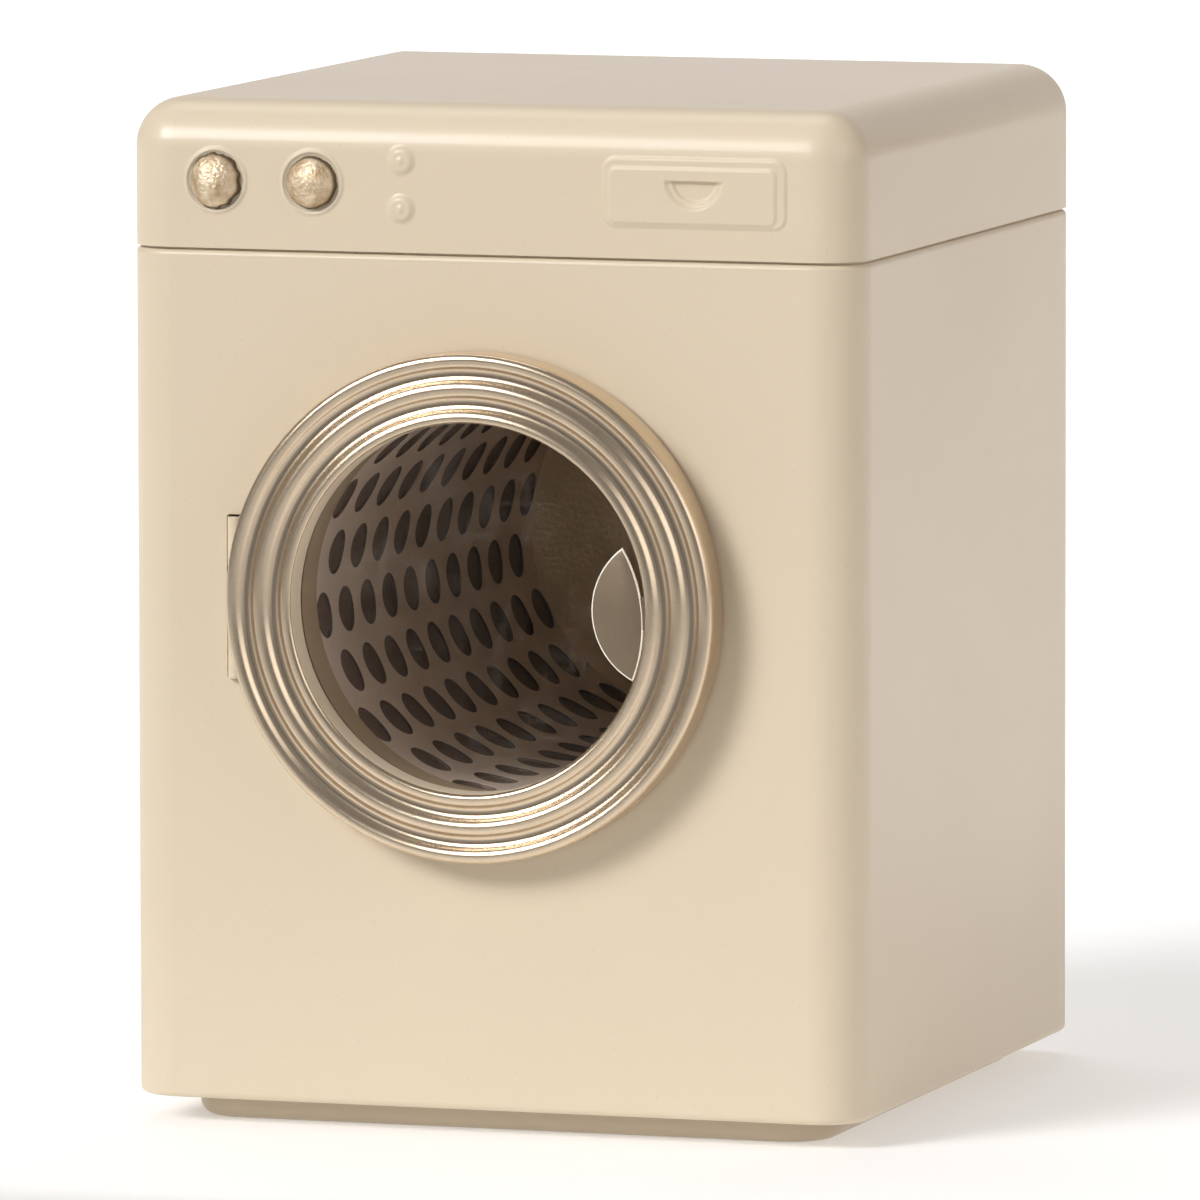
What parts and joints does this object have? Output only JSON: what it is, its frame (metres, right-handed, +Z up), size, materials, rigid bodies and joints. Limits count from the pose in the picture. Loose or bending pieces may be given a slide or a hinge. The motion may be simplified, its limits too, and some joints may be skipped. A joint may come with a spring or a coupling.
{
  "type": "toy washing machine",
  "caption": "Pressed-tin toy front-loading washing machine: rounded box with slip lid, ribbed ring door on a side hinge, clear window, spotted drum and domed knobs.",
  "frame": {"origin": "centre of the foot's flat underside, below the middle of the cabinet", "axes": "+Z up, -Y out of the front face with the door, +X to the right of someone facing the door"},
  "size_m": [0.093, 0.1009, 0.125],
  "materials": {
    "cream_paint": "satin",
    "base_paint": "satin",
    "gold_lacquer": "satin, finely speckled",
    "knob_foil": "bright, crinkled",
    "plain_steel": "plain",
    "ferrite": "dull",
    "drum_tin": "satin",
    "drum_dark": "satin",
    "window_clear": "clear, lightly scratched"
  },
  "bodies": {
    "cabinet": {"cabinet_shell": "cream_paint", "base_pan": "base_paint", "porthole_collar": "cream_paint", "rear_bearing_plate": "plain_steel", "drum_axle": "plain_steel", "axle_spacer": "plain_steel", "axle_washer": "plain_steel", "axle_push_nut": "plain_steel", "hinge_bracket": "cream_paint", "hinge_pin": "plain_steel", "catch_magnet": "ferrite", "magnet_cup": "plain_steel"},
    "lid": {"top_lid": "cream_paint"},
    "left_knob": {"knob_left": "knob_foil", "knob_left_clip": "plain_steel"},
    "right_knob": {"knob_right": "knob_foil", "knob_right_clip": "plain_steel"},
    "drum": {"drum_shell": "drum_dark", "drum_liner": "drum_tin", "drum_back": "drum_tin", "drum_hub": "plain_steel"},
    "door": {"door_ring": "gold_lacquer", "door_back": "gold_lacquer", "door_window": "window_clear", "door_handle": "gold_lacquer", "hinge_leaf": "gold_lacquer"}
  },
  "joints": [
    {"name": "door_swing", "type": "hinge", "parent": "cabinet", "child": "door", "pos_m": [-0.0321, -0.04735, 0.0648], "axis": [0, 0, -1], "range_deg": [0, 95]},
    {"name": "drum_spin", "type": "hinge", "parent": "cabinet", "child": "drum", "pos_m": [-0.0008, 0, 0.0648], "axis": [0, 1, 0], "continuous": true},
    {"name": "lid_lift", "type": "slide", "parent": "cabinet", "child": "lid", "axis": [0, 0, 1], "range_m": [0, 0.03]},
    {"name": "left_knob_turn", "type": "hinge", "parent": "lid", "child": "left_knob", "pos_m": [-0.0345, -0.047, 0.1153], "axis": [0, -1, 0], "continuous": true},
    {"name": "right_knob_turn", "type": "hinge", "parent": "lid", "child": "right_knob", "pos_m": [-0.0222, -0.047, 0.1153], "axis": [0, -1, 0], "continuous": true}
  ]
}
